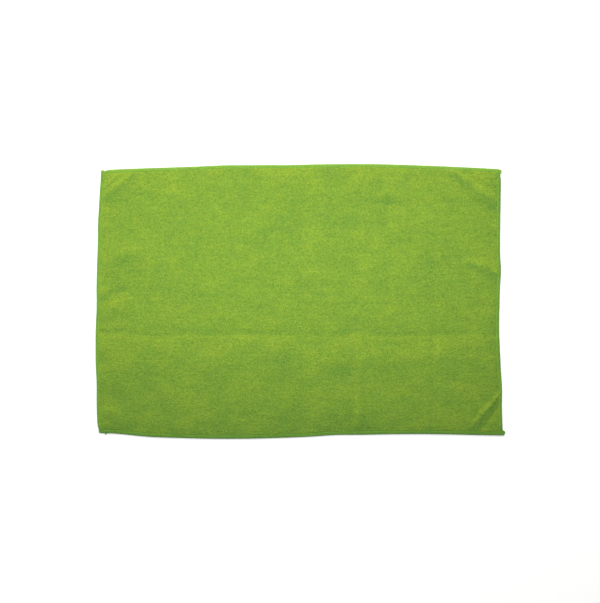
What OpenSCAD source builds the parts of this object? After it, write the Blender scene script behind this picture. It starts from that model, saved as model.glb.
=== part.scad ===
// Quick-dry travel towel, lying flat, in millimetres.
// A knitted ground carries pile on both faces. Each edge is overlocked with three threads.
// The towel folds in three, like a letter, so the cloth is split along two fold lines.
// The origin is the centre of the underside. +X runs along the long side, +Y points to the
// rear edge and +Z out of the face.

/* [Towel] */
// Nominal length, along X
towel_l = 600; // [400:10:1200]
// Nominal width, along Y
towel_w = 400; // [300:10:800]
// Thickness of the knitted ground that holds the pile
ground_h = 0.6; // [0.4:0.1:1]
// Height of the pile on each face
pile_h = 1.1; // [0.7:0.1:2]

/* [Outline] */
// How far the rear left corner is drawn in along X and Y
rear_left_draw = [4.7, 5]; // [-8:0.1:8]
// How far the rear right corner is drawn in along X and Y
rear_right_draw = [1.4, 3.8]; // [-8:0.1:8]
// How far the front left corner is drawn in along X and Y
front_left_draw = [0.3, 6.5]; // [-8:0.1:8]
// How far the front right corner is drawn in along X and Y
front_right_draw = [-0.8, 1]; // [-8:0.1:8]
// How far the rear edge swells out at its middle
rear_bow = 8; // [-10:0.5:10]
// How far the front edge swells out at its middle
front_bow = 5; // [-10:0.5:10]
// How far the left edge swells out at its middle
left_bow = 5; // [-10:0.5:10]
// How far the right edge swells out at its middle
right_bow = -3; // [-10:0.5:10]
// Extra swell on the rear edge's right half, taken off its left half
rear_skew = 0.9; // [-5:0.1:5]
// Extra swell on the front edge's right half, taken off its left half
front_skew = -4.6; // [-5:0.1:5]
// Extra swell on the left edge's rear half, taken off its front half
left_skew = -0.7; // [-5:0.1:5]
// Extra swell on the right edge's rear half, taken off its front half
right_skew = 0; // [-5:0.1:5]

/* [Overlocked edge] */
// Width of the sewn band along each edge
seam_w = 5; // [4:0.5:8]
// Thickness of the sewing thread
thread_d = 0.5; // [0.4:0.1:0.8]
// Length of one stitch along the edge
stitch_l = 4; // [3:0.5:8]
// Height of the pile that the stitches press flat
pressed_h = 0.35; // [0.2:0.05:0.5]

/* [Thread tails] */
// Width of the chained thread left at the end of a sewn edge
tail_w = 4.4; // [2:0.1:5]
// Thickness of a thread tail
tail_h = 1.2; // [0.8:0.1:1.3]
// Length of the tail at the rear left corner
rear_left_tail_l = 2.6; // [2.5:0.1:8]
// Length of the tail at the rear right corner
rear_right_tail_l = 2.6; // [2.5:0.1:8]
// Length of the tail at the front left corner
front_left_tail_l = 2.6; // [2.5:0.1:8]
// Length of the tail at the front right corner
front_right_tail_l = 4; // [2.5:0.1:8]

/* [Letter fold] */
// Share of the width in the front flap, which folds in first
front_share = 0.335; // [0.3:0.005:0.335]
// Share of the width in the rear flap, which folds over it
rear_share = 0.315; // [0.3:0.005:0.32]
// Gap between two panels along a fold line
fold_gap = 1; // [0.5:0.1:2]

/* [Hidden] */

pile_color = [0.52, 0.66, 0.24];
ground_color = [0.43, 0.56, 0.2];
thread_color = [0.47, 0.63, 0.24];
tail_color = [0.42, 0.55, 0.24];

half_l = towel_l / 2;
half_w = towel_w / 2;
towel_h = ground_h + 2 * pile_h;
mid_h = towel_h / 2;

// The cloth ends inside the loops that wrap its cut edge, and the loose pile starts
// past the needle thread. Threads lie clear of the cloth by lay_gap, and tails start
// tail_gap past the corner.
lay_gap = 0.02;
tail_gap = 0.3;
cut_in = thread_d;
pile_in = seam_w + 0.1;
needle_in = seam_w - thread_d;
loop_in = needle_in - 0.05;
face_thread_z = mid_h + ground_h / 2 + pressed_h + lay_gap;
back_thread_z = towel_h - face_thread_z - thread_d;

// Loop strands lean across the band, so they measure more across it than their thickness
loop_lean = atan2(loop_in - 2 * thread_d, stitch_l / 2);
loop_w = thread_d / cos(loop_lean);

front_fold_y = front_share * towel_w - half_w;
rear_fold_y = half_w - rear_share * towel_w;

// Straight pieces in a long edge's curve, in a short edge's, and the length of one in a strand
long_steps = 30;
short_steps = 20;
strip_step = 20;

LEFT = 0;
RIGHT = 1;
FRONT = 2;
REAR = 3;
MIDDLE = 4;

// ---- Outline ----

// How far an edge stands from the towel's centre line, u running from -1 to 1 along it
function reach(u, first, last, bow, skew) =
    first + (last - first) * (u + 1) / 2 + bow * (1 - u * u) + skew * sin(180 * u);

function rear_y(x) =
    half_w + reach(x / half_l, -rear_left_draw.y, -rear_right_draw.y, rear_bow, rear_skew);
function front_y(x) =
    -half_w - reach(x / half_l, -front_left_draw.y, -front_right_draw.y, front_bow, front_skew);
function left_x(y) =
    -half_l - reach(y / half_w, -front_left_draw.x, -rear_left_draw.x, left_bow, left_skew);
function right_x(y) =
    half_l + reach(y / half_w, -front_right_draw.x, -rear_right_draw.x, right_bow, right_skew);

// A point at depth inside one edge, t being X on a long edge and Y on a short one
function on_edge(edge, t, depth) =
    edge == REAR ? [t, rear_y(t) - depth]
    : edge == FRONT ? [t, front_y(t) + depth]
    : edge == LEFT ? [left_x(t) + depth, t]
    : [right_x(t) - depth, t];

// Where two edges meet at a depth, found by stepping between them
function corner(side, end, depth) =
    let (
        y = on_edge(end, side == LEFT ? -half_l : half_l, depth).y,
        x = on_edge(side, y, depth).x
    )
    on_edge(end, x, depth);

// The value a fraction of the way along a span
function along(span, fraction) = span[0] + (span[1] - span[0]) * fraction;

function edge_points(edge, from, to, depth, steps) =
    [for (i = [0 : steps - 1]) on_edge(edge, along([from, to], i / steps), depth)];

function outline(depth) =
    let (
        rear_left = corner(LEFT, REAR, depth),
        rear_right = corner(RIGHT, REAR, depth),
        front_left = corner(LEFT, FRONT, depth),
        front_right = corner(RIGHT, FRONT, depth)
    )
    concat(
        edge_points(REAR, rear_left.x, rear_right.x, depth, long_steps),
        edge_points(RIGHT, rear_right.y, front_right.y, depth, short_steps),
        edge_points(FRONT, front_right.x, front_left.x, depth, long_steps),
        edge_points(LEFT, front_left.y, rear_left.y, depth, short_steps)
    );

// The stretch of Y that each panel covers; the flaps run out past the edges
function panel_span(panel) =
    panel == FRONT ? [-towel_w, front_fold_y - fold_gap / 2]
    : panel == REAR ? [rear_fold_y + fold_gap / 2, towel_w]
    : [front_fold_y + fold_gap / 2, rear_fold_y - fold_gap / 2];

module panel_shape(panel, depth) {
    span = panel_span(panel);
    intersection() {
        polygon(outline(depth));
        translate([-towel_l, span[0]])
            square([2 * towel_l, span[1] - span[0]]);
    }
}

// ---- Cloth ----

module ground_knit(panel) {
    color(ground_color)
        translate([0, 0, pile_h])
            linear_extrude(ground_h)
                panel_shape(panel, cut_in);
}

// Loose pile inside the sewn band and pressed pile under it, on the face
module face_pile(panel) {
    color(pile_color)
        translate([0, 0, pile_h + ground_h]) {
            linear_extrude(pile_h)
                panel_shape(panel, pile_in);
            linear_extrude(pressed_h)
                panel_shape(panel, cut_in);
        }
}

module back_pile(panel) {
    color(pile_color) {
        linear_extrude(pile_h)
            panel_shape(panel, pile_in);
        translate([0, 0, pile_h - pressed_h])
            linear_extrude(pressed_h)
                panel_shape(panel, cut_in);
    }
}

// ---- Overlock threads ----

// The stretch of an edge that one hem thread covers. Long hems run through the corners.
// Short hems stop just inside the long hems, and break at the fold lines.
function hem_span(edge, panel) =
    edge == REAR || edge == FRONT
    ? [corner(LEFT, edge, 0).x, corner(RIGHT, edge, 0).x]
    : let (span = panel_span(panel), inside = pile_in + thread_d)
        [max(span[0], corner(edge, FRONT, inside).y), min(span[1], corner(edge, REAR, inside).y)];

// Straight strand along the inner side of the band
module needle_thread(edge, panel) {
    span = hem_span(edge, panel);
    steps = ceil((span[1] - span[0]) / strip_step);
    outer = [for (i = [0 : steps]) on_edge(edge, along(span, i / steps), needle_in)];
    inner = [for (i = [steps : -1 : 0]) on_edge(edge, along(span, i / steps), seam_w)];
    color(thread_color)
        translate([0, 0, face_thread_z])
            linear_extrude(thread_d)
                polygon(concat(outer, inner));
}

// Strand that zigzags between the cut edge and the needle thread
module looper(edge, panel, z) {
    span = hem_span(edge, panel);
    peaks = 2 * round((span[1] - span[0]) / stitch_l);
    peak_in = [0, loop_in - loop_w];
    outer = [for (i = [0 : peaks])
        on_edge(edge, along(span, i / peaks), peak_in[i % 2])];
    inner = [for (i = [peaks : -1 : 0])
        on_edge(edge, along(span, i / peaks), peak_in[i % 2] + loop_w)];
    color(thread_color)
        translate([0, 0, z])
            linear_extrude(thread_d)
                polygon(concat(outer, inner));
}

module upper_looper(edge, panel) {
    looper(edge, panel, face_thread_z);
}

module lower_looper(edge, panel) {
    looper(edge, panel, back_thread_z);
}

// The heading in which an edge faces out of the towel, in degrees from +X
function outward(edge) = edge == RIGHT ? 0 : edge == REAR ? 90 : edge == LEFT ? 180 : 270;

// A bar with a round far end; a short one is little more than the round
module tail_shape(length) {
    straight = length - tail_w / 2;
    translate([0, -tail_w / 2])
        square([straight, tail_w]);
    intersection() {
        translate([0, -tail_w / 2])
            square([length, tail_w]);
        translate([straight, 0])
            circle(d = tail_w, $fn = 48);
    }
}

// The thread chain left at the end of one edge, running on past another in line with its band
module thread_tail(side, end, past, length) {
    root = corner(side, end, 0);
    inward = outward(past == side ? end : side) + 180;
    middle = root + seam_w / 2 * [cos(inward), sin(inward)];
    color(tail_color)
        translate([middle.x, middle.y, mid_h - tail_h / 2])
            rotate(outward(past))
                translate([tail_gap, 0])
                    linear_extrude(tail_h)
                        tail_shape(length);
}

module rear_left_thread_tail() {
    thread_tail(LEFT, REAR, REAR, rear_left_tail_l);
}

module rear_right_thread_tail() {
    thread_tail(RIGHT, REAR, RIGHT, rear_right_tail_l);
}

module front_left_thread_tail() {
    thread_tail(LEFT, FRONT, LEFT, front_left_tail_l);
}

module front_right_thread_tail() {
    thread_tail(RIGHT, FRONT, RIGHT, front_right_tail_l);
}

ground_knit(FRONT);  // ground_knit_front
ground_knit(MIDDLE);  // ground_knit_middle
ground_knit(REAR);  // ground_knit_rear
face_pile(FRONT);  // face_pile_front
face_pile(MIDDLE);  // face_pile_middle
face_pile(REAR);  // face_pile_rear
back_pile(FRONT);  // back_pile_front
back_pile(MIDDLE);  // back_pile_middle
back_pile(REAR);  // back_pile_rear
needle_thread(REAR, REAR);  // rear_hem_needle_thread
upper_looper(REAR, REAR);  // rear_hem_upper_looper
lower_looper(REAR, REAR);  // rear_hem_lower_looper
needle_thread(FRONT, FRONT);  // front_hem_needle_thread
upper_looper(FRONT, FRONT);  // front_hem_upper_looper
lower_looper(FRONT, FRONT);  // front_hem_lower_looper
needle_thread(LEFT, FRONT);  // left_hem_needle_thread_front
needle_thread(LEFT, MIDDLE);  // left_hem_needle_thread_middle
needle_thread(LEFT, REAR);  // left_hem_needle_thread_rear
upper_looper(LEFT, FRONT);  // left_hem_upper_looper_front
upper_looper(LEFT, MIDDLE);  // left_hem_upper_looper_middle
upper_looper(LEFT, REAR);  // left_hem_upper_looper_rear
lower_looper(LEFT, FRONT);  // left_hem_lower_looper_front
lower_looper(LEFT, MIDDLE);  // left_hem_lower_looper_middle
lower_looper(LEFT, REAR);  // left_hem_lower_looper_rear
needle_thread(RIGHT, FRONT);  // right_hem_needle_thread_front
needle_thread(RIGHT, MIDDLE);  // right_hem_needle_thread_middle
needle_thread(RIGHT, REAR);  // right_hem_needle_thread_rear
upper_looper(RIGHT, FRONT);  // right_hem_upper_looper_front
upper_looper(RIGHT, MIDDLE);  // right_hem_upper_looper_middle
upper_looper(RIGHT, REAR);  // right_hem_upper_looper_rear
lower_looper(RIGHT, FRONT);  // right_hem_lower_looper_front
lower_looper(RIGHT, MIDDLE);  // right_hem_lower_looper_middle
lower_looper(RIGHT, REAR);  // right_hem_lower_looper_rear
rear_left_thread_tail();
rear_right_thread_tail();
front_left_thread_tail();
front_right_thread_tail();
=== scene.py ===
"""Looks of the quick-dry towel: looped pile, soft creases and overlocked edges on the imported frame."""

import math
from collections import namedtuple

import bpy
import numpy as np
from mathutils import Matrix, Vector


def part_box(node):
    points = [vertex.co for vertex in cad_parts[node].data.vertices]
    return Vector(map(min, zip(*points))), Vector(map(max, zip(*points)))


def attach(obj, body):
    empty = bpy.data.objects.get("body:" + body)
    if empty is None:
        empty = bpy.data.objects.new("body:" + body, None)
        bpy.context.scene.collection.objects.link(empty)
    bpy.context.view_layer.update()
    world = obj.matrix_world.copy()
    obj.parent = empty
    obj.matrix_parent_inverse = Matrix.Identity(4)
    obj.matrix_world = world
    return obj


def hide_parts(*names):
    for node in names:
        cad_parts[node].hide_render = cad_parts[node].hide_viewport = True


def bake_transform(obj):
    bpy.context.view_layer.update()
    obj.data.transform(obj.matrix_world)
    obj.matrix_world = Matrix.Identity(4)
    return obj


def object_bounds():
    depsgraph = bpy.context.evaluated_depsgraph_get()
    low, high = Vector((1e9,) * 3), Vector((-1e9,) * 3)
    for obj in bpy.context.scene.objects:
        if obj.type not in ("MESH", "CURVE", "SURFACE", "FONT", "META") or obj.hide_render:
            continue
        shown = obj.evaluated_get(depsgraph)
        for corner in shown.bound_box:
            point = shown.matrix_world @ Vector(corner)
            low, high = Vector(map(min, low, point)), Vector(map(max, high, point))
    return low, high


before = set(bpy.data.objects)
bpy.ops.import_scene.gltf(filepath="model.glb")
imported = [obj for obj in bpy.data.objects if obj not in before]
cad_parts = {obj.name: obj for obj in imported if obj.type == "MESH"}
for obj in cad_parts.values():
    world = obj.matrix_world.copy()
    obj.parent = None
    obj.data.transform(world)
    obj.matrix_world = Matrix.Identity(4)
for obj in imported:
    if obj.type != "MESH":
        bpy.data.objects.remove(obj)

CAD_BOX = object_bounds()
MM = 0.001

# ---- Driving dimensions, as in the CAD source ----
SEAM_W = 5.0 * MM           # width of the sewn band
THREAD_D = 0.5 * MM
PRESSED_H = 0.35 * MM       # what the seam presses the pile down to
NEEDLE_IN = SEAM_W - THREAD_D / 2       # how far in from the edge the needle line runs
CUT_IN = THREAD_D                       # and how far in the cloth is cut

# ---- Cloth ----
FINE_STEP = 0.4 * MM        # mesh spacing over the sewn band
STEP = 0.8 * MM             # mesh spacing over the pile
FINE_MARGIN = 8.0 * MM      # how far in from the edges the fine spacing reaches


# ---- Noise ----

Noise = namedtuple("Noise", "seed size stretch")
LATTICE = 256               # cells after which noise and loops repeat
NOISE_ORIGIN = 64.0         # keeps the towel away from where they do
NOISE_GAIN = 1.6            # stretches the noise to about -1 and 1
LOOP_MARGIN = 0.12          # how close to its cell's side a loop may stand, as a share of the cell
LOOP_SHORTEST = 0.6         # height of the shortest loop, as a share of the tallest


def gradients(seed):
    """Unit directions on a square lattice, the same on every run."""
    angle = np.random.RandomState(seed).rand(LATTICE, LATTICE) * 2 * math.pi
    return np.cos(angle), np.sin(angle)


def wavy(x, y, noise):
    """Noise between about -1 and 1, its lumps noise.size across and noise.stretch times as long in X."""
    gx, gy = gradients(noise.seed)
    u = x / (noise.size * noise.stretch) + NOISE_ORIGIN
    v = y / noise.size + NOISE_ORIGIN
    iu = np.floor(u).astype(int)
    iv = np.floor(v).astype(int)
    fu = u - iu
    fv = v - iv
    total = np.zeros_like(u)
    for du in (0, 1):
        for dv in (0, 1):
            a = (iu + du) % LATTICE
            b = (iv + dv) % LATTICE
            dot = gx[a, b] * (fu - du) + gy[a, b] * (fv - dv)
            total += dot * fade(1 - np.abs(fu - du)) * fade(1 - np.abs(fv - dv))
    return total * NOISE_GAIN


def fade(t):
    """From 0 to 1, with no bend at either end."""
    return t * t * t * (t * (6 * t - 15) + 10)


def smooth(value, low, high):
    """0 below low, 1 above high, and an easy curve between."""
    t = np.clip((value - low) / (high - low), 0, 1)
    return t * t * (3 - 2 * t)


def bell(offset, width):
    return np.exp(-((offset / width) ** 2))


def loops(x, y, pitch, seed):
    """Heights from 0 to 1 of round-topped yarn loops, one per cell of a jittered grid."""
    jitter_x, jitter_y, tall = np.random.RandomState(seed).rand(3, LATTICE, LATTICE)
    room = 1 - 2 * LOOP_MARGIN
    column = np.floor(x / pitch[0]).astype(int)
    row = np.floor(y / pitch[1]).astype(int)
    height = np.zeros_like(x)
    for dc in (-1, 0, 1):
        for dr in (-1, 0, 1):
            a = (column + dc) % LATTICE
            b = (row + dr) % LATTICE
            cx = (column + dc + LOOP_MARGIN + room * jitter_x[a, b]) * pitch[0]
            cy = (row + dr + LOOP_MARGIN + room * jitter_y[a, b]) * pitch[1]
            off = ((x - cx) / pitch[0]) ** 2 + ((y - cy) / pitch[1]) ** 2
            full = LOOP_SHORTEST + (1 - LOOP_SHORTEST) * tall[a, b]
            height = np.maximum(height, np.sqrt(np.clip(1 - off, 0, 1)) * full)
    return height


# ---- The towel's outline, read from the frame ----

# Where a hem is eased in or out of its plain curve, in mm: place along it, reach, how far out
HEM_SWAY = {
    "rear": ((-296, 10, -2.3), (-112, 30, 0.8), (-15, 28, -0.8), (110, 40, 0.5)),
    "front": ((-296, 14, 1.4), (-224, 35, 1.0), (52, 26, -1.1), (302, 20, -0.2)),
    "left": ((-198, 9, -4.7), (-122, 22, -1.0), (-9, 22, -1.0), (116, 22, 0.7), (180, 12, -0.6)),
    "right": ((-128, 20, 1.0), (-42, 42, -1.6), (45, 18, 1.5), (197, 12, -2.6)),
}
PLACE_DECIMALS = 5          # points of a hem this close along it, in decimals of a metre, are one place
PLAIN_DEGREE = 5            # degree of the polynomial that is a hem's plain curve
CORNER_ROUNDS = 4           # rounds of closing in on the point where two edges meet
SHEET_ROUNDS = 5            # and on each point that is a share of the way between four edges
PANELS = ("front", "middle", "rear")


def node_points(*names):
    return np.array([v.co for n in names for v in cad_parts[n].data.vertices])


def edge_curve(edge, names, along, out):
    """The cut edge as a function: the needle thread's outer side, moved out, smoothed and swayed."""
    points = node_points(*names)
    places = np.round(points[:, along], PLACE_DECIMALS)
    t = np.unique(places)
    side = np.array([(out * points[places == k, 1 - along]).max() for k in t])
    plain = np.poly1d(np.polyfit(t, out * (side + SEAM_W - THREAD_D), PLAIN_DEGREE))

    def curve(t):
        sway = sum(far * MM * bell(t - at * MM, reach * MM) for at, reach, far in HEM_SWAY[edge])
        return plain(t) + out * sway

    return curve


def hem_nodes(edge, thread):
    return [f"{edge}_hem_{thread}_{panel}" for panel in PANELS]


EDGES = {
    "rear": edge_curve("rear", ["rear_hem_needle_thread"], 0, 1),
    "front": edge_curve("front", ["front_hem_needle_thread"], 0, -1),
    "left": edge_curve("left", hem_nodes("left", "needle_thread"), 1, -1),
    "right": edge_curve("right", hem_nodes("right", "needle_thread"), 1, 1),
}
TOP_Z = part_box("face_pile_middle")[1].z
GROUND_Z = (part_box("ground_knit_middle")[0].z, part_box("ground_knit_middle")[1].z)
MID_Z = sum(GROUND_Z) / 2
FRONT_FOLD_Y = (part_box("face_pile_front")[1].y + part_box("face_pile_middle")[0].y) / 2
REAR_FOLD_Y = (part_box("face_pile_rear")[0].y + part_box("face_pile_middle")[1].y) / 2
HALF_L = (CAD_BOX[1][0] - CAD_BOX[0][0]) / 2
HALF_W = (CAD_BOX[1][1] - CAD_BOX[0][1]) / 2


def edge_distance(x, y):
    """How far a point is inside the nearest cut edge."""
    sides = (x - EDGES["left"](y), EDGES["right"](y) - x, EDGES["rear"](x) - y, y - EDGES["front"](x))
    return np.minimum.reduce(sides)


def inside_distance(x, y):
    return np.clip(edge_distance(x, y), 0, None)


def corner(side, end, inset=0.0):
    """Where a short edge and a long edge meet, at a depth inside both."""
    x_in = inset if side == "left" else -inset
    y_in = inset if end == "front" else -inset
    x = EDGES[side](0.0)
    for _ in range(CORNER_ROUNDS):
        y = EDGES[end](x) + y_in
        x = EDGES[side](y) + x_in
    return float(x), float(y)


# ---- How the cloth lies ----

# Ridges (height above 0) and valleys (below 0) that the packing folds and handling left, in mm:
# one end, the other end, width, height before the cloth's weight flattens it
CREASES = (
    ((-330, -50), (330, -49), 6, -0.2),        # packing fold a third up from the front edge
    ((-330, -84), (330, -82), 26, 0.6),
    ((-330, 141), (330, 140), 9, -0.1),        # faint fold near the rear edge
    ((4, -230), (4, 230), 12, -0.4),           # fold down the centre
    ((79, -230), (79, 120), 12, -0.35),        # handling folds right of the centre
    ((88, -190), (88, -86), 7, 0.45),
    ((133, -10), (131, 150), 7, -0.3),
    ((200, -160), (198, 60), 7, -0.3),
    ((-291, 153), (-247, 191), 5.5, 0.65),     # rear left corner
    ((-299, 160), (-264, 192), 3, 0.35),
    ((218, 197), (302, 138), 7, 1.0),          # rear right corner
    ((210, 186), (290, 126), 8, -0.2),
    ((250, 60), (304, 36), 6, 0.7),            # right edge
    ((-300, -3), (-256, 14), 8, -0.65),        # left edge
    ((-276, 66), (-236, 73), 8, 0.3),
    ((-315, -46), (-262, -46), 5, -0.25),
    ((303, -131), (255, -185), 4, 0.75),       # front right corner
    ((310, -140), (268, -188), 4, -0.3),
    ((-300, -150), (-250, -185), 9, 0.4),      # front left corner
)
CREASE_FADE = 10 * MM       # half the length over which a crease fades out at its ends
WANDER = (Noise(seed=15, size=34 * MM, stretch=1.0), 2.2 * MM)       # how far a crease strays sideways
UNEVEN = (Noise(seed=16, size=60 * MM, stretch=1.0), 0.6)            # and how much its height varies
BASE_LIFT = 0.7 * MM
LIFT_MAX = 1.5 * MM         # highest that a crease lifts the cloth off the floor
LONG_WAVE = (Noise(seed=11, size=130 * MM, stretch=1.2), 0.34 * MM)
SHORT_WAVE = (Noise(seed=12, size=46 * MM, stretch=1.3), 0.19 * MM)
# Ripples of the hems, and how far in from the edge they die out
HEM_WAVES = (
    (Noise(seed=13, size=17 * MM, stretch=1.0), 0.35 * MM, 10 * MM),
    (Noise(seed=14, size=45 * MM, stretch=1.0), 0.8 * MM, 26 * MM),
)
DROOP_REACH = 9 * MM        # how far in from its edges the cloth sinks to the floor
EDGE_FLATTENING = 0.8       # share of its lift that it loses there
HEM_SINK = 0.22 * MM        # how much lower still the thinner hem can lie
DROOP = 0.7 * MM            # how much lower the cloth lies at its edges, on average
SLOPE_STEP = 1.0 * MM       # half the distance over which a slope is measured
TO_LIGHT = (-0.39, 0.92)    # the way that the main light comes from, seen from above


def crease(x, y, start, end, width, height, stray):
    """One soft fold: a bell across the line, fading out past both ends."""
    ax, ay = start[0] * MM, start[1] * MM
    bx, by = end[0] * MM, end[1] * MM
    length = math.hypot(bx - ax, by - ay)
    ux, uy = (bx - ax) / length, (by - ay) / length
    along = (x - ax) * ux + (y - ay) * uy
    across = (y - ay) * ux - (x - ax) * uy + stray
    begun = smooth(along, -CREASE_FADE, CREASE_FADE)
    ended = smooth(along, length - CREASE_FADE, length + CREASE_FADE)
    return height * MM * (begun * (1 - ended)) * bell(across, width * MM)


def rise(x, y):
    """Height that folds and waves would give the cloth's underside, before its weight flattens them."""
    height = BASE_LIFT
    for noise, strength in (LONG_WAVE, SHORT_WAVE):
        height = height + strength * wavy(x, y, noise)
    stray = WANDER[1] * wavy(x, y, WANDER[0])
    even = 1 + UNEVEN[1] * wavy(x, y, UNEVEN[0])
    for start, end, width, top in CREASES:
        height = height + even * crease(x, y, start, end, width, top, stray)
    inside = inside_distance(x, y)
    for noise, strength, depth in HEM_WAVES:
        height = height + strength * np.exp(-inside / depth) * wavy(x, y, noise)
    return height


def edge_nearness(x, y):
    """1 at the edges, falling to 0 inside them."""
    return np.exp(-inside_distance(x, y) / DROOP_REACH)


def lift(x, y):
    """Height of the cloth's underside above the floor, below 0 where the thin hem's own would be."""
    half = LIFT_MAX / 2
    flattened = half * (1 + np.tanh((rise(x, y) - half) / half))
    near = edge_nearness(x, y)
    return flattened * (1 - EDGE_FLATTENING * near) - HEM_SINK * near


def slope_to_light(x, y):
    """How steeply the folds face the main light: painted light on the pile's tone where they face it,
    painted shade where they face away.
    """
    def height(x, y):
        return rise(x, y) - DROOP * edge_nearness(x, y)

    dx, dy = TO_LIGHT[0] * SLOPE_STEP, TO_LIGHT[1] * SLOPE_STEP
    return (height(x - dx, y - dy) - height(x + dx, y + dy)) / (2 * SLOPE_STEP)


# ---- The cloth's two faces ----

FACE_SEED = 21
BACK_SEED = 31
LOOP_PITCH = (3.0 * MM, 2.6 * MM)
PILE_TOP = TOP_Z - MID_Z    # how far the loose pile stands from mid-cloth in the CAD
PILE_SLACK = 0.1 * MM       # how much less its loops do here
LOOP_H = 0.5 * MM           # how deep the gaps between loops are
TONE_H = 0.11 * MM          # how much higher pile of a light tone stands
TONE_EDGE = 0.35 * MM       # and how much nearer to the edge it starts
PILE_START = (SEAM_W - 0.3 * MM, SEAM_W + 1.8 * MM)     # where the band's pressed pile turns loose
BAND_TOP = GROUND_Z[1] + PRESSED_H - MID_Z              # how far the pressed band stands from mid-cloth
BAND_SWELL = 0.15 * MM                                  # how much more it does beside the pile
CUT_ROUNDING = 1.2 * MM     # how far in from the cut the band is rounded off
CUT_H = 0.35                # the band's height at the cut, as a share
GROOVE_H = 0.06 * MM        # depth of the groove that the needle thread pulls
GROOVE_W = 0.5 * MM         # and half its width
MOTTLE = (
    # size in mm, how many times longer in X, strength
    (1.7, 1.2, 1.0), (3.2, 1.3, 0.15), (6.2, 1.4, 0.3), (12, 1.5, 0.43), (25, 1.4, 0.42), (52, 1.3, 0.36),
    (2.3, 14, 0.35), (6, 10, 0.3),
)
PAINTED_SLOPE_LIGHT = 1.15                 # most painted light that a slope facing the main light adds to the pile's tone, and most painted shade that one facing away takes off
PAINTED_LIGHT_SLOPE = 0.06           # slope that adds three quarters of it
FRONT_PAINTED_SHADE = 0.55           # painted shade: how much darker and greener the pile is made towards the front edge
FRONT_SHADE_Y = (-215 * MM, -95 * MM)         # from all of that to none


def mottle_and_front_shade(x, y, seed):
    """Light and dark patches of pile, of every size, where it leans one way or another, less painted shade
    that makes it darker and greener towards the front edge.
    """
    total = np.zeros_like(x)
    for order, (size, stretch, strength) in enumerate(MOTTLE):
        total += strength * wavy(x, y, Noise(seed + order, size * MM, stretch))
    # Painted shade: darker and greener towards the front edge
    return total - FRONT_PAINTED_SHADE * (1 - smooth(y, *FRONT_SHADE_Y))


def band_height(depth):
    """How far the sewn band stands from mid-cloth: rounded off at the cut, and rising to the pile."""
    near = np.clip((depth - CUT_IN) / CUT_ROUNDING, 0, 1)
    rounded = CUT_H + (1 - CUT_H) * np.sqrt(1 - (1 - near) ** 2)
    return BAND_TOP * rounded + BAND_SWELL * np.clip(depth / SEAM_W, 0, 1)


def cloth_side(x, y, depth, seed):
    """How far one face stands from mid-cloth, how high its loops are, and its tone."""
    loop = loops(x, y, LOOP_PITCH, seed)
    tone = mottle_and_front_shade(x, y, seed)
    loose = smooth(depth + TONE_EDGE * tone, *PILE_START)
    band = band_height(depth) - GROOVE_H * bell(depth - NEEDLE_IN, GROOVE_W)
    pile = PILE_TOP - PILE_SLACK + LOOP_H * (loop - 1) + TONE_H * tone
    side = band * (1 - loose) + pile * loose
    return side, 1 - loose * (1 - loop), tone


# ---- Cloth mesh ----

# Places in the picture that a slab is baked to: the face, the back above it, and its wall on top
FACE_SPAN = (0.985, 0.485)
BACK_FROM = (0, 0.495)
WALL_ROWS = (0.99, 0.99, 0.998, 0.998)


def stations(length):
    """Shares from 0 to 1 along a length: fine near both ends, coarse between, with one half way."""
    fine = np.arange(0, FINE_MARGIN, FINE_STEP)
    count = 2 * round((length / 2 - FINE_MARGIN) / STEP) + 1
    coarse = np.linspace(FINE_MARGIN, length - FINE_MARGIN, count)
    return np.concatenate([fine, coarse, length - fine[::-1]]) / length


def sheet_points(s, t, inset):
    """Cloth points at shares s from left to right and t from front to rear."""
    x = (2 * s - 1) * HALF_L
    y = (2 * t - 1) * HALF_W
    for _ in range(SHEET_ROUNDS):
        left = EDGES["left"](y) + inset
        right = EDGES["right"](y) - inset
        x = left + s * (right - left)
        front = EDGES["front"](x) + inset
        rear = EDGES["rear"](x) - inset
        y = front + t * (rear - front)
    return x, y


def make_mesh(name, points, quads, corner_uv, **values):
    """A smooth-shaded mesh of quads, with a UV map and named values at its points."""
    mesh = bpy.data.meshes.new(name)
    count = len(quads)
    mesh.vertices.add(len(points))
    mesh.vertices.foreach_set("co", np.asarray(points, np.float32).ravel())
    mesh.loops.add(4 * count)
    mesh.loops.foreach_set("vertex_index", np.asarray(quads, np.int32).ravel())
    mesh.polygons.add(count)
    mesh.polygons.foreach_set("loop_start", np.arange(0, 4 * count, 4, dtype=np.int32))
    mesh.polygons.foreach_set("loop_total", np.full(count, 4, np.int32))
    mesh.update(calc_edges=True)
    mesh.shade_smooth()
    uv = mesh.uv_layers.new(name="OFBake")
    uv.data.foreach_set("uv", np.asarray(corner_uv, np.float32).ravel())
    for key, value in values.items():
        layer = mesh.attributes.new(key, "FLOAT", "POINT")
        layer.data.foreach_set("value", np.asarray(value, np.float32))
    mesh.validate()
    piece = bpy.data.objects.new(name, mesh)
    bpy.context.scene.collection.objects.link(piece)
    return piece


def grid_quads(index):
    """Quads over a grid of point numbers, facing up when rows run to +Y and columns to +X."""
    corners = (index[:-1, :-1], index[:-1, 1:], index[1:, 1:], index[1:, :-1])
    return np.stack([c.ravel() for c in corners], axis=1)


def slab_quads(rows, columns):
    """Quads of a closed slab: an upper grid, a lower one of as many points, and the wall round both."""
    upper = np.arange(rows * columns).reshape(rows, columns)
    rim = np.concatenate([upper[0, :-1], upper[:-1, -1], upper[-1, :0:-1], upper[:0:-1, 0]])
    after = np.roll(rim, -1)
    under = rows * columns
    wall = np.stack([rim + under, after + under, after, rim], axis=1)
    return grid_quads(upper), grid_quads(upper + under)[:, ::-1], wall


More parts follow.
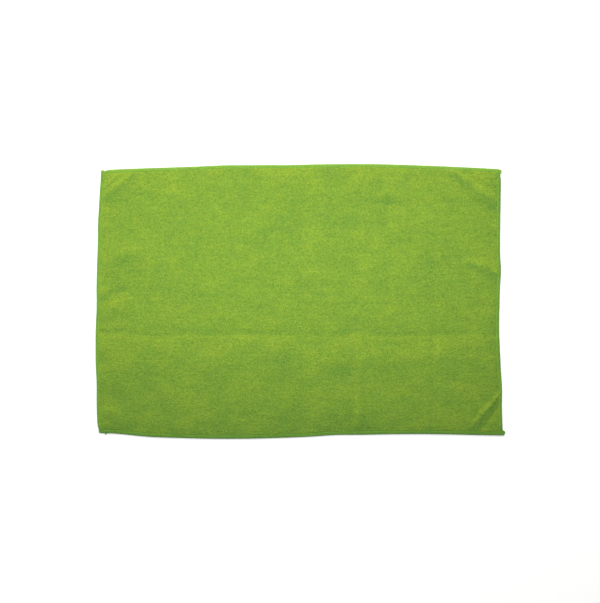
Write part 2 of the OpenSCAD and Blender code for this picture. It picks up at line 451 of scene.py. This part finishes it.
def slab_uv(upper, lower, wall, share):
    """Maps the slab to its picture, the wall as one long strip."""
    face = share[upper] * FACE_SPAN
    back = share[lower - len(share)] * FACE_SPAN + BACK_FROM
    step = 1 / len(wall)
    u = np.arange(len(wall))[:, None] / len(wall) + np.array([0, step, step, 0])
    v = np.broadcast_to(WALL_ROWS, u.shape)
    return np.concatenate([face, back, np.stack([u, v], axis=-1)])


def crisp_edges(mesh, points):
    """Stops shading from running smoothly across the edges that join the given points."""
    ends = np.empty(2 * len(mesh.edges), np.int32)
    mesh.edges.foreach_get("vertices", ends)
    crisp = np.isin(ends.reshape(-1, 2), points).all(axis=1)
    mesh.attributes.new("sharp_edge", "BOOLEAN", "EDGE").data.foreach_set("value", crisp)


def cloth_section(name, s, t, cut_last):
    """A closed stretch of cloth whose last row, or else its first, is where it meets the next stretch."""
    grid_s, grid_t = np.meshgrid(s, t)
    x, y = sheet_points(grid_s, grid_t, CUT_IN)
    depth = edge_distance(x, y)
    base = MID_Z + lift(x, y)
    face, face_loop, face_tone = cloth_side(x, y, depth, FACE_SEED)
    back, back_loop, back_tone = cloth_side(x, y, depth, BACK_SEED)
    # Painted light on fold slopes that face the main light and painted shade on those that face away, as
    # lighter or darker pile tone
    painted_slope_light = PAINTED_SLOPE_LIGHT * np.tanh(slope_to_light(x, y) / PAINTED_LIGHT_SLOPE)
    points = np.concatenate([
        np.stack([x, y, base + face], axis=-1).reshape(-1, 3),
        np.stack([x, y, base - back], axis=-1).reshape(-1, 3),
    ])
    upper, lower, wall = slab_quads(*x.shape)
    share = np.stack([grid_s, (grid_t - t[0]) / (t[-1] - t[0])], axis=-1).reshape(-1, 2)
    piece = make_mesh(
        name, points, np.concatenate([upper, lower, wall]), slab_uv(upper, lower, wall, share),
        pile_loop=np.concatenate([face_loop.ravel(), back_loop.ravel()]),
        pile_tone=np.concatenate([(face_tone + painted_slope_light).ravel(), (back_tone - painted_slope_light).ravel()]),
    )
    number = np.arange(x.size).reshape(x.shape)
    cut = number[-1 if cut_last else 0]
    crisp_edges(piece.data, np.concatenate([cut, cut + x.size]))
    return piece


# ---- Overlock threads ----

STITCH = 2.0 * MM
THREAD_R = 0.36 * MM
WOBBLE_ROW = 0.37           # distance in the noise between one thread's wobble and the next
LOOPER_POINTS = 10          # points of the path in each stitch
LOOPER_OUT = 0.12 * MM      # how far in from the edge a looper turns back
LOOPER_IN = NEEDLE_IN - 0.1 * MM        # and how far in at the needle line
LOOPER_ROUNDING = 0.8       # below 1, the turns are squarer than a sine wave's
LOOPER_LEAN = 0.3           # how far the inner turns lean along the edge, in stitches
LOOPER_SPARE = 0.5          # stitches left free for that at the end
LOOPER_WOBBLE = (0.12 * MM, 3.1 * MM)   # how far out of line it runs, and over what length
NEEDLE_STITCH = np.array([
    # share of the stitch, height as a share of the band's
    (0.06, 0.5), (0.16, 1.15), (0.5, 1.3), (0.84, 1.15), (0.94, 0.5),
    (0.95, -0.6), (0.97, -1.25), (1.03, -1.25), (1.05, -0.6),
])
NEEDLE_BAND_H = BAND_TOP + 0.85 * BAND_SWELL            # the band's height at the needle line
NEEDLE_SPARE = 0.1          # stitches left free for the last one's end
NEEDLE_WOBBLE = (0.1 * MM, 4.3 * MM)

TUBE_SIDES = 6
FIRST_CAP = ((0, 3, 2, 1), (0, 5, 4, 3))                # the quads that close a tube of six sides
LAST_CAP = ((0, 1, 2, 3), (0, 3, 4, 5))
ACROSS_START = (0.3, 0.2, 1.0)          # a direction that no thread starts along
TIP_R = 0.4                 # radius at a thread's tips, as a share
ROW_RINGS = 4               # rings in a row of a tube's map, for each row that the map has
ROW_FILL = 0.9              # share of a row's height that the tube takes up
COLUMN_FILL = 0.98          # share of a column's width that its rows take up


def on_edge(edge, t, depth):
    """Points at depth inside an edge, t being X along a long edge and Y along a short one."""
    line = EDGES[edge](t)
    if edge in ("rear", "front"):
        return t, line - depth if edge == "rear" else line + depth
    return (line + depth if edge == "left" else line - depth), t


def thread_points(edge, t, depth, height):
    x, y = on_edge(edge, t, depth)
    return np.stack([x, y, MID_Z + lift(x, y) + height], axis=-1)


def wobble(t, seed, far, size):
    """How far out of line a thread runs, different for each seed."""
    return far * wavy(t, np.full_like(t, seed * WOBBLE_ROW), Noise(seed, size, 1.0))


def looper_path(edge, start, end, face, seed):
    """A looper thread's run: out to the cut edge and back to the needle line at each stitch."""
    count = round(abs(end - start) / STITCH)
    turn = np.linspace(0, count, count * LOOPER_POINTS + 1)
    swing = np.cos(2 * math.pi * turn)
    inward = 0.5 - 0.5 * np.sign(swing) * np.abs(swing) ** LOOPER_ROUNDING
    depth = LOOPER_OUT + (LOOPER_IN - LOOPER_OUT) * inward
    painted_slope_light = LOOPER_LEAN * (depth / LOOPER_IN) * face
    t = start + (end - start) * (turn + painted_slope_light) / (count + LOOPER_SPARE)
    depth = depth + wobble(t, seed, *LOOPER_WOBBLE)
    height = face * (band_height(depth) + THREAD_R / 2)
    return thread_points(edge, t, depth, height)


def needle_path(edge, start, end, seed):
    """The needle thread: a stitch on the face, then down through the cloth and back up."""
    count = round(abs(end - start) / STITCH)
    turn = (np.arange(count)[:, None] + NEEDLE_STITCH[None, :, 0]).ravel()
    height = np.tile(NEEDLE_STITCH[:, 1], count) * NEEDLE_BAND_H
    t = start + (end - start) * turn / (count + NEEDLE_SPARE)
    depth = NEEDLE_IN + wobble(t, seed, *NEEDLE_WOBBLE)
    return thread_points(edge, t, depth, height)


def tube(path, radius):
    """Rings of points along a path, turning as little as they can, and the quads that join them."""
    path = np.asarray(path)
    ahead = np.gradient(path, axis=0)
    ahead /= np.linalg.norm(ahead, axis=1)[:, None]
    across = np.empty_like(path)
    previous = np.cross(ahead[0], ACROSS_START)
    for i, direction in enumerate(ahead):
        previous = previous - direction * previous.dot(direction)
        previous = previous / math.sqrt(previous.dot(previous))
        across[i] = previous
    other = np.cross(ahead, across)
    radii = np.full(len(path), radius)
    radii[[0, -1]] *= TIP_R
    angle = np.arange(TUBE_SIDES) * 2 * math.pi / TUBE_SIDES
    ring = across[:, None] * np.cos(angle)[:, None] + other[:, None] * np.sin(angle)[:, None]
    points = (path[:, None] + ring * radii[:, None, None]).reshape(-1, 3)
    index = np.arange(len(points)).reshape(len(path), TUBE_SIDES)
    around = np.concatenate([index, index[:, :1]], axis=1)
    last_cap = np.array(LAST_CAP) + index[-1, 0]
    return points, np.concatenate([grid_quads(around), FIRST_CAP, last_cap])


def tube_uv(quads, rings):
    """Lays the tube out in rows, so that a long thread fills a square map."""
    row_count = max(1, round(math.sqrt(rings / ROW_RINGS)))
    per_row = rings / row_count
    ring = quads // TUBE_SIDES
    around = (quads % TUBE_SIDES).astype(float)
    body = slice(0, (rings - 1) * TUBE_SIDES)
    wrap = np.zeros_like(around, bool)
    wrap[body] = (around[body] == 0) & (around[body].max(axis=1) == TUBE_SIDES - 1)[:, None]
    around[wrap] = TUBE_SIDES
    row = np.floor(ring.min(axis=1) / per_row)[:, None]
    u = (ring - row * per_row) / per_row
    v = (row + around / TUBE_SIDES * ROW_FILL) / row_count
    return np.stack([u, v], axis=-1)


def run_lengths(path):
    """How far along the path each of its points is."""
    step = np.linalg.norm(np.diff(path, axis=0), axis=1)
    return np.concatenate([[0], np.cumsum(step)])


def make_tubes(name, paths, radius):
    """One mesh of a tube along each path, with the run and the turn of each point for the twist."""
    all_points, all_quads, all_uv, run = [], [], [], []
    offset = 0
    for order, path in enumerate(paths):
        points, quads = tube(path, radius)
        uv = tube_uv(quads, len(path))
        uv[..., 0] = (uv[..., 0] * COLUMN_FILL + order) / len(paths)
        all_points.append(points)
        all_quads.append(quads + offset)
        all_uv.append(uv)
        run.append(np.repeat(run_lengths(path), TUBE_SIDES))
        offset += len(points)
    spin = np.tile(np.arange(TUBE_SIDES) / TUBE_SIDES, offset // TUBE_SIDES)
    return make_mesh(
        name, np.concatenate(all_points), np.concatenate(all_quads), np.concatenate(all_uv),
        thread_run=np.concatenate(run), thread_spin=spin,
    )


# ---- Material helpers ----

def new_material(name):
    material = bpy.data.materials.new(name)
    material.use_nodes = True
    nodes = material.node_tree.nodes
    nodes.clear()
    output = nodes.new("ShaderNodeOutputMaterial")
    shader = nodes.new("ShaderNodeBsdfPrincipled")
    material.node_tree.links.new(shader.outputs[0], output.inputs[0])
    return material, shader


def feed(owner, target, inputs):
    """Links or sets a node's inputs."""
    for key, value in inputs.items():
        if isinstance(value, bpy.types.NodeSocket):
            owner.node_tree.links.new(value, target.inputs[key])
        else:
            target.inputs[key].default_value = value


def node(owner, kind, inputs=None, **settings):
    """Adds a node to a material or world, sets its properties, and links or sets its inputs."""
    made = owner.node_tree.nodes.new(kind)
    for key, value in settings.items():
        setattr(made, key, value)
    feed(owner, made, inputs or {})
    return made


def math_node(owner, operation, a, b=0.0):
    return node(owner, "ShaderNodeMath", {0: a, 1: b}, operation=operation).outputs[0]


def attribute(owner, name):
    return node(owner, "ShaderNodeAttribute", attribute_name=name).outputs["Fac"]


def remap(owner, value, low, high, at_low=0.0, at_high=1.0):
    """at_low where the value is low or less, at_high where it is high or more, and straight between."""
    return node(owner, "ShaderNodeMapRange", {0: value, 1: low, 2: high, 3: at_low, 4: at_high}).outputs[0]


def mix_colour(owner, share, a, b, blend="MIX"):
    made = node(owner, "ShaderNodeMix", data_type="RGBA", blend_type=blend)
    feed(owner, made, {0: share, 6: a, 7: b})
    return made.outputs[2]


def tinted(owner, colour, share, casts):
    """The colour times a mix of two casts: the first where share is 0, the second where it is 1."""
    return mix_colour(owner, 1.0, colour, mix_colour(owner, share, *casts), "MULTIPLY")


def noise_node(owner, place, scale, detail=2.0, roughness=0.5):
    inputs = {"Vector": place, "Scale": scale, "Detail": detail, "Roughness": roughness}
    return node(owner, "ShaderNodeTexNoise", inputs).outputs[0]


def object_place(owner):
    return node(owner, "ShaderNodeTexCoord").outputs["Object"]


# ---- Materials ----

# Pile of a dark, a middle and a light tone, the tone holding random patches and painted light and shade, and
# the painted shade in the gaps between its loops
GREEN = (0.193, 0.380, 0.051, 1)
LIME = (0.258, 0.440, 0.048, 1)
YELLOW = (0.333, 0.510, 0.047, 1)
GAP_SHADE = (0.085, 0.200, 0.024, 1)
TONE_RANGE = 1.5            # tone at which it is wholly GREEN below 0, or YELLOW above
GAP_SHADE_SHARE = 0.6             # how much of the painted gap shade shows at the bottom of a gap
PILE_STRETCH = 1.4          # patterns are this many times longer in X
CURL_SCALE = 760.0          # curls and lumps in a metre
SPECK_SCALE = 430.0
HUE_SCALE = 95.0
FIBRE_SCALE = 1500.0
# Casts on the pile's colour, at the low and at the high end of what brings them about, and those ends
# Next: a painted highlight on the tips of curls and painted shade between them
CURL_LIGHT_AND_SHADE = ((1.22, 1.18, 1.13, 1), (0.85, 0.86, 0.86, 1))
SPECK_CASTS = ((0.86, 0.89, 0.76, 1), (1.13, 1.10, 1.22, 1))
HUE_CASTS = ((0.965, 1.005, 1, 1), (1.035, 0.995, 1, 1))
CURL_RANGE = (0.15, 0.85)
SPECK_RANGE = (0.28, 0.72)
HUE_RANGE = (0.3, 0.7)
GAP_SHADE_RANGE = (0.1, 0.8)      # heights of a loop where the painted gap shade shows most, and not at all
FIBRE_RANGE = (0.2, 0.8)
FIBRE_H = 0.6               # how much fibres add to the bumps that curls make
NAP_H = 0.5 * MM            # height of those bumps
PILE_ROUGHNESS = (0.82, 0.98)
PILE_SHEEN = (0.75, 0.95, 0.35, 1)

THREAD_COLOURS = ((0.290, 0.605, 0.066, 1), (0.375, 0.730, 0.084, 1))
PLY_GAP_SHADE = (0.190, 0.430, 0.042, 1)      # painted shade between a thread's two plies
PLY_GAP_SHADE_SHARE = 0.45
PLY_RANGE = (-1.0, 0.4)     # from the bottom of that gap to where it no longer shows
THREAD_ROUGHNESS = (0.5, 0.7)
THREAD_SHEEN = (0.85, 1.0, 0.6, 1)
FRONT_HEM_SHADE_CASTS = ((1, 1, 1, 1), (0.76, 0.86, 0.90, 1))     # painted shade: threads elsewhere as they are, and darker at the front edge, which faces away from the main light
FRONT_HEM_SHADE_Y = (-180 * MM, -190 * MM)
SHADE_SCALE = 260.0
SHADE_RANGE = (0.2, 0.8)
TWIST = 1.1 * MM            # length in which a thread turns once
TWIST_PHASE = 4 * math.pi   # two plies, so two waves a turn
PLY_H = 0.12 * MM

FLOOR_GREY = (0.93, 0.93, 0.93, 1)
FLOOR_GLOW = 0.62           # what the floor gives out to the camera, to look white


def pile_colour(material, place, curl):
    """Greener or yellower with the tone, which holds painted light and shade as well as random patches;
    painted shade in the gaps between loops; specks; curls painted lighter on their tips and shaded between.
    """
    tone = attribute(material, "pile_tone")
    # The tone holds random patches, painted shade towards the front edge, and painted light and shade on
    # fold slopes
    colour = mix_colour(material, remap(material, tone, -TONE_RANGE, 0.0), GREEN, LIME)
    colour = mix_colour(material, remap(material, tone, 0.0, TONE_RANGE), colour, YELLOW)
    speck = noise_node(material, place, SPECK_SCALE, roughness=0.7)
    colour = tinted(material, colour, remap(material, speck, *SPECK_RANGE), SPECK_CASTS)
    hue = noise_node(material, place, HUE_SCALE, detail=3.0, roughness=0.6)
    colour = tinted(material, colour, remap(material, hue, *HUE_RANGE), HUE_CASTS)
    # Painted shade at the bottom of the gaps between loops
    gap_shade = remap(material, attribute(material, "pile_loop"), *GAP_SHADE_RANGE, GAP_SHADE_SHARE, 0.0)
    colour = mix_colour(material, gap_shade, colour, GAP_SHADE)
    # Painted highlight on curl tips and painted shade between curls
    return tinted(material, colour, remap(material, curl, *CURL_RANGE), CURL_LIGHT_AND_SHADE)


def pile_material():
    """Short microfibre pile of looped yarn, matt, with its curls and fibres standing up."""
    material, shader = new_material("lime_terry_pile")
    place = node(material, "ShaderNodeMapping", {
        "Vector": object_place(material), "Scale": (1 / PILE_STRETCH, 1, 1),
    }).outputs[0]
    curls = {"Vector": place, "Scale": CURL_SCALE, "Randomness": 1.0}
    curl = node(material, "ShaderNodeTexVoronoi", curls).outputs["Distance"]
    fibre = noise_node(material, place, FIBRE_SCALE, detail=3.0, roughness=0.6)
    nap = math_node(material, "MULTIPLY", curl, -1.0)
    nap = math_node(material, "ADD", nap, math_node(material, "MULTIPLY", fibre, FIBRE_H))
    bump = node(material, "ShaderNodeBump", {"Height": nap, "Strength": 0.75, "Distance": NAP_H})
    feed(material, shader, {
        "Base Color": pile_colour(material, place, curl),
        "Roughness": remap(material, fibre, *FIBRE_RANGE, *PILE_ROUGHNESS),
        "Specular IOR Level": 0.2,
        "Sheen Weight": 0.15,
        "Sheen Roughness": 0.45,
        "Sheen Tint": PILE_SHEEN,
        "Normal": bump.outputs[0],
    })
    return material


def thread_material():
    """Bulky polyester thread: two twisted plies with a soft gloss, painted shade between the plies, and
    painted shade on the front hem.
    """
    material, shader = new_material("lime_sewing_thread")
    place = object_place(material)
    shade = noise_node(material, place, SHADE_SCALE)
    turns = math_node(material, "MULTIPLY", attribute(material, "thread_run"), 1 / TWIST)
    phase = math_node(material, "ADD", turns, attribute(material, "thread_spin"))
    ply = math_node(material, "SINE", math_node(material, "MULTIPLY", phase, TWIST_PHASE))
    colour = mix_colour(material, shade, *THREAD_COLOURS)
    # Painted shade in the groove between the plies
    colour = mix_colour(material, remap(material, ply, *PLY_RANGE, PLY_GAP_SHADE_SHARE, 0.0), colour, PLY_GAP_SHADE)
    # Painted shade on the front hem's threads, which face away from the main light
    along_y = node(material, "ShaderNodeSeparateXYZ", {0: place}).outputs["Y"]
    colour = tinted(material, colour, remap(material, along_y, *FRONT_HEM_SHADE_Y), FRONT_HEM_SHADE_CASTS)
    bump = node(material, "ShaderNodeBump", {"Height": ply, "Strength": 0.5, "Distance": PLY_H})
    feed(material, shader, {
        "Base Color": colour,
        "Roughness": remap(material, shade, *SHADE_RANGE, *THREAD_ROUGHNESS),
        "Sheen Weight": 0.5,
        "Sheen Roughness": 0.35,
        "Sheen Tint": THREAD_SHEEN,
        "Normal": bump.outputs[0],
    })
    return material


def floor_material():
    """White studio sweep, lit to white where the camera sees it."""
    material, shader = new_material("studio_floor")
    seen = node(material, "ShaderNodeLightPath").outputs["Is Camera Ray"]
    feed(material, shader, {
        "Base Color": FLOOR_GREY,
        "Roughness": 0.9,
        "Specular IOR Level": 0.0,
        "Emission Color": (1, 1, 1, 1),
        "Emission Strength": math_node(material, "MULTIPLY", seen, FLOOR_GLOW),
    })
    return material


# ---- Pieces ----

SECTION_PANELS = {"front": ("front", "middle"), "rear": ("rear",)}
LAYERS = ("face_pile", "ground_knit", "back_pile")
THREADS = ("needle_thread", "upper_looper", "lower_looper")
LONG_HEM_SEED = 40
SHORT_HEM_SEED = 50
HEM_END_IN = 0.3 * MM       # how far short of the corners the long edges' threads stop


def finish_piece(piece, material, replaced):
    piece.data.materials.append(material)
    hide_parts(*replaced)


def bend(piece):
    """Bakes the piece's placement into its mesh."""
    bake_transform(piece)


def build_cloth(material):
    s = stations(2 * HALF_L)
    t = stations(2 * HALF_W)
    half = len(t) // 2
    shares = {"front": t[:half + 1], "rear": t[half:]}
    for section, panels in SECTION_PANELS.items():
        piece = cloth_section(f"terry_cloth_{section}", s, shares[section], section == "front")
        replaced = [f"{layer}_{panel}" for layer in LAYERS for panel in panels]
        finish_piece(piece, material, replaced)
        bend(piece)


def thread_path(thread, edge, start, end, seed):
    if thread == "needle_thread":
        return needle_path(edge, start, end, seed)
    return looper_path(edge, start, end, 1 if thread == "upper_looper" else -1, seed)


def build_long_hems(material):
    for edge in ("rear", "front"):
        start = corner("left", edge)[0] + HEM_END_IN
        end = corner("right", edge)[0] - HEM_END_IN
        for order, thread in enumerate(THREADS):
            path = thread_path(thread, edge, start, end, LONG_HEM_SEED + order)
            piece = make_tubes(f"{edge}_overlock_{thread}", [path], THREAD_R)
            finish_piece(piece, material, [f"{edge}_hem_{thread}"])
            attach(piece, f"{edge}_third")


def build_short_hems(material):
    cut_y = (FRONT_FOLD_Y + REAR_FOLD_Y) / 2
    for edge in ("left", "right"):
        ends = {
            "front": (corner(edge, "front", SEAM_W)[1], cut_y),
            "rear": (cut_y, corner(edge, "rear", SEAM_W)[1]),
        }
        for section, (start, end) in ends.items():
            for order, thread in enumerate(THREADS):
                path = thread_path(thread, edge, start, end, SHORT_HEM_SEED + order)
                piece = make_tubes(f"{edge}_overlock_{thread}_{section}", [path], THREAD_R)
                replaced = [f"{edge}_hem_{thread}_{panel}" for panel in SECTION_PANELS[section]]
                finish_piece(piece, material, replaced)
                bend(piece)


# ---- Thread chains' ends ----

# The nubs in which the chains end: where they start from the corner, in mm, their heading in
# degrees from +X, their length and their width in mm
Nub = namedtuple("Nub", "start heading length width")
NUBS = {
    ("rear", "left"): (Nub((3.0, -1.8), 92, 4.4, 5.6),),
    ("rear", "right"): (Nub((-1.6, -4.2), 358, 5.0, 8.0),),
    ("front", "left"): (Nub((1.8, 3.0), 184, 5.4, 6.4), Nub((8, 1.5), 268, 4.0, 3.2)),
    ("front", "right"): (Nub((-2.0, 4.9), 338, 6.0, 8.8),),
}
STRANDS = 3
STRAND_R = 0.42 * MM
CHAIN_SPREAD = 0.55 * MM    # how far the strands stand from the middle of a chain
CHAIN_FLATNESS = 0.75       # and how far above and below it, as a share of that
CHAIN_W = 2 * (CHAIN_SPREAD + STRAND_R)
CHAIN_TURN = 2.3 * MM       # length in which they go once round each other
CHAIN_STEP = 0.12 * MM      # distance between points of the chain
BUNCH_W = 2.6 * MM          # width that one loop of the bunched chain takes up
BUNCH_POINTS = 60           # points that a loop's curve is worked out at
NUB_ROUNDING = 0.55         # 0 for a nub with a square end, 1 for one with a half ellipse
TAIL_DROOP = 0.25 * MM      # how far a tail hangs below the hem
TAIL_DROOP_RUN = (2 * MM, 4 * MM)       # and where along it


def nub_line(nub):
    """A bunched chain's middle line, looping out to the nub's round end and back, and its running length."""
    bunches = max(1, round(nub.width * MM / BUNCH_W))
    share = np.linspace(-1, 1, BUNCH_POINTS * bunches)
    half = (nub.width * MM - CHAIN_W) / 2
    reach = (nub.length * MM - CHAIN_W / 2) * np.sqrt(1 - NUB_ROUNDING * share ** 2)
    forward = reach * (0.5 + 0.5 * np.cos(math.pi * bunches * (share + 1) + math.pi))
    line = np.stack([forward, half * share], axis=-1)
    length = run_lengths(line)
    even = np.arange(0, length[-1], CHAIN_STEP)
    return np.stack([np.interp(even, length, line[:, k]) for k in (0, 1)], axis=-1), even


def tail_paths(side, end):
    """The three threads of each chain that ends at a corner, going round each other."""
    x, y = corner(side, end)
    high = MID_Z + float(lift(np.float64(x), np.float64(y)))
    paths = []
    for nub in NUBS[end, side]:
        line, run = nub_line(nub)
        angle = math.radians(nub.heading)
        ahead = np.array([math.cos(angle), math.sin(angle)])
        left = np.array([-ahead[1], ahead[0]])
        centre = np.array([x, y]) + np.array(nub.start) * MM + line[:, :1] * ahead + line[:, 1:] * left
        heading = np.gradient(centre, axis=0)
        heading /= np.linalg.norm(heading, axis=1)[:, None]
        across = np.stack([-heading[:, 1], heading[:, 0]], axis=-1)
        middle = high - TAIL_DROOP * smooth(line[:, 0], *TAIL_DROOP_RUN)
        for strand in range(STRANDS):
            phase = 2 * math.pi * (strand / STRANDS + run / CHAIN_TURN)
            plan = centre + (CHAIN_SPREAD * np.cos(phase))[:, None] * across
            tall = middle + CHAIN_FLATNESS * CHAIN_SPREAD * np.sin(phase)
            paths.append(np.column_stack([plan, tall]))
    return paths


def build_tails(material):
    for end in ("rear", "front"):
        for side in ("left", "right"):
            piece = make_tubes(f"{end}_{side}_chain_tail", tail_paths(side, end), STRAND_R)
            finish_piece(piece, material, [f"{end}_{side}_thread_tail"])
            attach(piece, f"{end}_third")


# ---- Studio ----

WARM = (1.0, 0.965, 0.90)
COOL = (0.93, 1.0, 1.0)
LAMPS = (
    # name, place, what it points at, width and height, watts, colour
    ("key", (-0.10, 1.35, 1.07), (0, 0, 0), (1.1, 0.35), 25.4, WARM),
    ("left fill", (-1.5, 0.25, 0.45), (0, 0, 0), (0.7, 0.3), 4.6, WARM),
    ("overhead", (0.0, 0.05, 0.39), (0.0, 0.05, 0), (0.75, 0.15), 0.94, COOL),
)
AROUND = 0.07               # strength of the light from all round
BACKDROP = 0.68             # and of what the camera sees beyond the floor
FLOOR_W = 12
CAMERA_Z = 2.2
VIEW_W = 0.894              # width of floor in the picture
SENSOR_W = 36.0


def area_light(name, place, target, size, power, colour):
    data = bpy.data.lights.new(name, "AREA")
    data.shape = "RECTANGLE"
    data.size, data.size_y = size
    data.energy = power
    data.color = colour
    lamp = bpy.data.objects.new(name, data)
    lamp.location = place
    lamp.rotation_euler = (Vector(target) - Vector(place)).to_track_quat("-Z", "Y").to_euler()
    lamp.visible_camera = False
    bpy.context.scene.collection.objects.link(lamp)


def studio_world():
    """Dim light from all round, behind a backdrop that the camera sees as pale as the floor."""
    world = bpy.data.worlds.new("studio")
    world.use_nodes = True
    seen = node(world, "ShaderNodeLightPath").outputs["Is Camera Ray"]
    feed(world, world.node_tree.nodes["Background"], {
        "Color": mix_colour(world, seen, (*COOL, 1), (1, 1, 1, 1)),
        "Strength": remap(world, seen, 0.0, 1.0, AROUND, BACKDROP),
    })
    return world


def build_studio():
    bpy.ops.mesh.primitive_plane_add(size=FLOOR_W)
    floor = bpy.context.object
    floor.name = "studio_floor"
    floor.data.materials.append(floor_material())
    for lamp in LAMPS:
        area_light(*lamp)
    bpy.context.scene.world = studio_world()


def build_camera():
    """Straight above, so far off that edges are seen square."""
    data = bpy.data.cameras.new("camera")
    data.sensor_width = SENSOR_W
    data.lens = SENSOR_W * CAMERA_Z / VIEW_W
    camera = bpy.data.objects.new("camera", data)
    camera.location = (0, 0, CAMERA_Z)
    bpy.context.scene.collection.objects.link(camera)
    bpy.context.scene.camera = camera


def main():
    pile = pile_material()
    thread = thread_material()
    build_cloth(pile)
    build_long_hems(thread)
    build_short_hems(thread)
    build_tails(thread)
    build_studio()
    build_camera()
    bpy.context.scene.view_settings.view_transform = "Standard"


main()
